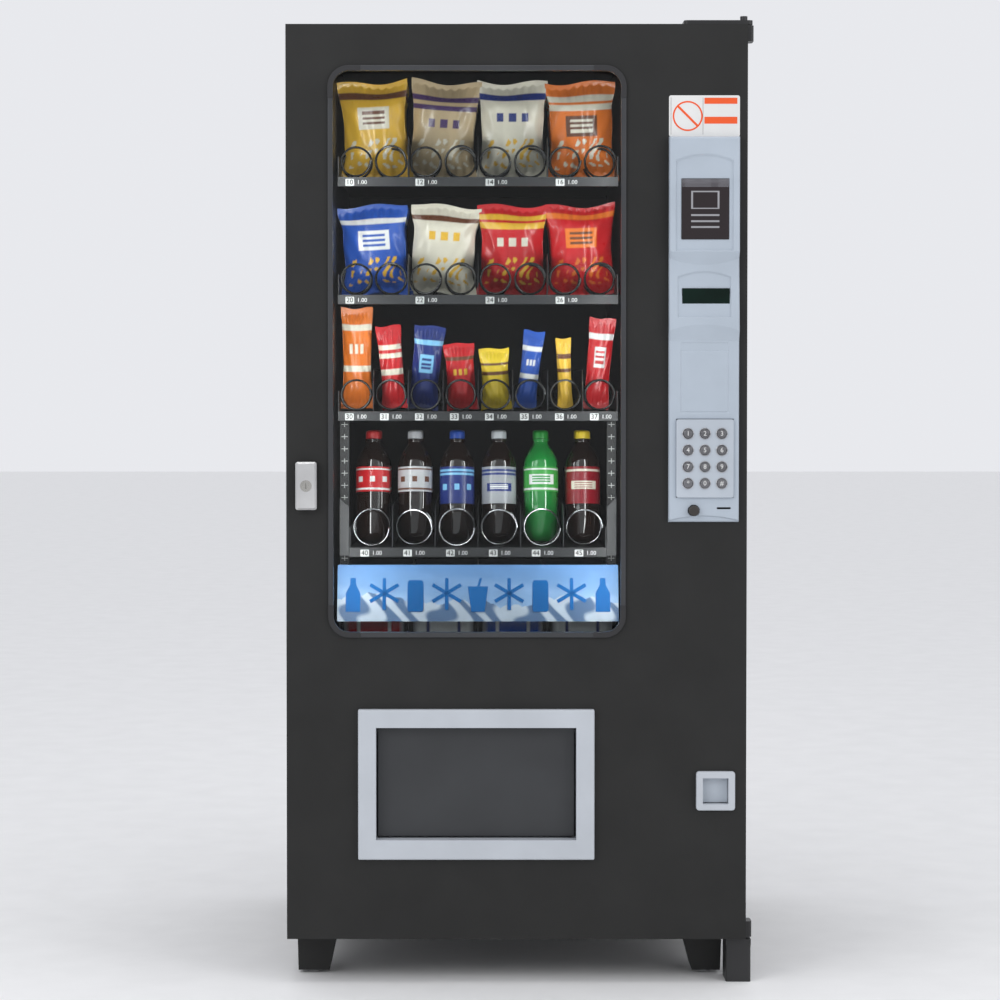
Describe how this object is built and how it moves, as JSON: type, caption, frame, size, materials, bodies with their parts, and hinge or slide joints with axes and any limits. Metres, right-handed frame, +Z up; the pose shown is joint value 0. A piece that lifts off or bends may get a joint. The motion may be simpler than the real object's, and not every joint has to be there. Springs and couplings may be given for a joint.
{
  "type": "snack vending machine",
  "caption": "Upright vending machine with a glass-fronted door, spiral vend trays, keypad, delivery flap and coin return.",
  "frame": {"origin": "on the floor under the middle of the machine's bounding box", "axes": "+Z up; the front faces -Y; +X is to the right seen from the front, on the door's hinge side"},
  "size_m": [0.889, 0.914, 1.846],
  "materials": {
    "black_powder_coat": "fine-textured powder coat",
    "inner_black": "satin",
    "zinc_steel": "zinc plated",
    "bracket_black": "satin",
    "divider_steel": "satin",
    "rail_grey": "matte",
    "motor_plastic": "matte",
    "coil_black": "gloss",
    "coil_bright": "drawn wire",
    "sign_print": "printed sheet",
    "compressor_black": "gloss",
    "fin_aluminium": "mill",
    "fan_plastic": "moulded",
    "foam_deck": "matte",
    "board_case": "matte",
    "liner_sheet": "satin",
    "pivot_steel": "machined",
    "clear_glass": "polished",
    "trim_grey": "satin extrusion",
    "lamp_white": "frosted",
    "housing_grey": "fine moulded texture",
    "info_card": "printed card behind a window",
    "lcd_glass": "gloss",
    "keypad_metal": "satin",
    "key_chrome": "polished",
    "knob_dark": "satin",
    "coin_case": "matte",
    "bezel_grey": "fine moulded texture",
    "flap_dark": "matte",
    "bin_black": "matte",
    "cup_flap_grey": "satin",
    "cast_zinc": "satin cast",
    "brass_steel": "turned"
  },
  "bodies": {
    "cabinet": {"cabinet_shell": "black_powder_coat", "back_panel": "black_powder_coat", "product_liner": "inner_black", "product_deck": "foam_deck", "legs": "black_powder_coat", "levelling_feet": "zinc_steel", "hinge_brackets": "bracket_black", "lock_strike": "zinc_steel", "tray_1": "inner_black", "tray_2": "inner_black", "tray_3": "inner_black", "tray_4": "inner_black", "tray_dividers": "divider_steel", "price_rails": "rail_grey", "vend_motors": "motor_plastic", "spiral_coils": "coil_black", "can_shelf": "divider_steel", "sign_panel": "sign_print", "compressor": "compressor_black", "condenser": "fin_aluminium", "evaporator": "fin_aluminium", "control_board": "board_case"},
    "door": {"door_skin": "black_powder_coat", "door_liner": "liner_sheet", "pivot_blocks": "pivot_steel", "window_glass": "clear_glass", "window_trim": "trim_grey", "light_tube": "lamp_white", "control_housing": "housing_grey", "info_display": "info_card", "lcd_display": "lcd_glass", "keypad_plate": "keypad_metal", "delivery_bezel": "bezel_grey", "delivery_bin": "bin_black", "coin_cup": "bezel_grey", "coin_mechanism": "coin_case", "handle_housing": "zinc_steel"},
    "fan": {"condenser_fan": "fan_plastic"},
    "coil_10_left_body": {"coil_10_left": "coil_black"},
    "coil_10_right_body": {"coil_10_right": "coil_black"},
    "coil_30_body": {"coil_30": "coil_black"},
    "coil_40_body": {"coil_40": "coil_bright"},
    "flap": {"delivery_flap": "flap_dark"},
    "coin_flap_body": {"coin_flap": "cup_flap_grey"},
    "coin_return": {"coin_return_button": "knob_dark"},
    "key_1_body": {"key_1": "key_chrome"},
    "key_2_body": {"key_2": "key_chrome"},
    "key_3_body": {"key_3": "key_chrome"},
    "key_4_body": {"key_4": "key_chrome"},
    "key_5_body": {"key_5": "key_chrome"},
    "key_6_body": {"key_6": "key_chrome"},
    "key_7_body": {"key_7": "key_chrome"},
    "key_8_body": {"key_8": "key_chrome"},
    "key_9_body": {"key_9": "key_chrome"},
    "key_star_body": {"key_star": "key_chrome"},
    "key_0_body": {"key_0": "key_chrome"},
    "key_hash_body": {"key_hash": "key_chrome"},
    "handle_sleeve_body": {"handle_sleeve": "zinc_steel"},
    "handle": {"t_handle": "cast_zinc"},
    "cylinder": {"lock_cylinder": "brass_steel"}
  },
  "joints": [
    {"name": "door_hinge", "type": "hinge", "parent": "cabinet", "child": "door", "pos_m": [0.427, -0.3945, 0.9], "axis": [0, 0, 1], "range_deg": [0, 110]},
    {"name": "fan_spin", "type": "hinge", "parent": "cabinet", "child": "fan", "pos_m": [-0.19, -0.063, 0.27], "axis": [0, 1, 0], "continuous": true},
    {"name": "coil_10_left_spin", "type": "hinge", "parent": "cabinet", "child": "coil_10_left_body", "pos_m": [-0.31975, 0, 1.583], "axis": [0, 1, 0], "continuous": true},
    {"name": "coil_10_right_spin", "type": "hinge", "parent": "cabinet", "child": "coil_10_right_body", "pos_m": [-0.25125, 0, 1.583], "axis": [0, 1, 0], "continuous": true},
    {"name": "coil_30_spin", "type": "hinge", "parent": "cabinet", "child": "coil_30_body", "pos_m": [-0.31975, 0, 1.1244], "axis": [0, 1, 0], "continuous": true},
    {"name": "coil_40_spin", "type": "hinge", "parent": "cabinet", "child": "coil_40_body", "pos_m": [-0.29, 0, 0.863], "axis": [0, 1, 0], "continuous": true},
    {"name": "delivery_flap_hinge", "type": "hinge", "parent": "door", "child": "flap", "pos_m": [-0.0835, -0.418, 0.484], "axis": [1, 0, 0], "range_deg": [0, 65]},
    {"name": "coin_flap_hinge", "type": "hinge", "parent": "door", "child": "coin_flap_body", "pos_m": [0.3726, -0.4225, 0.3919], "axis": [1, 0, 0], "range_deg": [0, 50]},
    {"name": "coin_return_push", "type": "slide", "parent": "door", "child": "coin_return", "axis": [0, 1, 0], "range_m": [0, 0.004], "stiffness_N_per_m": 300},
    {"name": "key_1_push", "type": "slide", "parent": "door", "child": "key_1_body", "axis": [0, 1, 0], "range_m": [0, 0.002], "stiffness_N_per_m": 400},
    {"name": "key_2_push", "type": "slide", "parent": "door", "child": "key_2_body", "axis": [0, 1, 0], "range_m": [0, 0.002], "stiffness_N_per_m": 400},
    {"name": "key_3_push", "type": "slide", "parent": "door", "child": "key_3_body", "axis": [0, 1, 0], "range_m": [0, 0.002], "stiffness_N_per_m": 400},
    {"name": "key_4_push", "type": "slide", "parent": "door", "child": "key_4_body", "axis": [0, 1, 0], "range_m": [0, 0.002], "stiffness_N_per_m": 400},
    {"name": "key_5_push", "type": "slide", "parent": "door", "child": "key_5_body", "axis": [0, 1, 0], "range_m": [0, 0.002], "stiffness_N_per_m": 400},
    {"name": "key_6_push", "type": "slide", "parent": "door", "child": "key_6_body", "axis": [0, 1, 0], "range_m": [0, 0.002], "stiffness_N_per_m": 400},
    {"name": "key_7_push", "type": "slide", "parent": "door", "child": "key_7_body", "axis": [0, 1, 0], "range_m": [0, 0.002], "stiffness_N_per_m": 400},
    {"name": "key_8_push", "type": "slide", "parent": "door", "child": "key_8_body", "axis": [0, 1, 0], "range_m": [0, 0.002], "stiffness_N_per_m": 400},
    {"name": "key_9_push", "type": "slide", "parent": "door", "child": "key_9_body", "axis": [0, 1, 0], "range_m": [0, 0.002], "stiffness_N_per_m": 400},
    {"name": "key_star_push", "type": "slide", "parent": "door", "child": "key_star_body", "axis": [0, 1, 0], "range_m": [0, 0.002], "stiffness_N_per_m": 400},
    {"name": "key_0_push", "type": "slide", "parent": "door", "child": "key_0_body", "axis": [0, 1, 0], "range_m": [0, 0.002], "stiffness_N_per_m": 400},
    {"name": "key_hash_push", "type": "slide", "parent": "door", "child": "key_hash_body", "axis": [0, 1, 0], "range_m": [0, 0.002], "stiffness_N_per_m": 400},
    {"name": "handle_pop_out", "type": "slide", "parent": "door", "child": "handle_sleeve_body", "axis": [0, -1, 0], "range_m": [0, 0.02]},
    {"name": "handle_turn", "type": "hinge", "parent": "handle_sleeve_body", "child": "handle", "pos_m": [-0.4055, -0.447, 0.9525], "axis": [0, 1, 0], "range_deg": [0, 90]},
    {"name": "key_turn", "type": "hinge", "parent": "handle", "child": "cylinder", "pos_m": [-0.4055, -0.45, 0.9525], "axis": [0, 1, 0], "range_deg": [0, 90]}
  ],
  "couplings": [
    {"joint": "coil_10_right_spin", "follows": "coil_10_left_spin", "ratio": -1}
  ]
}
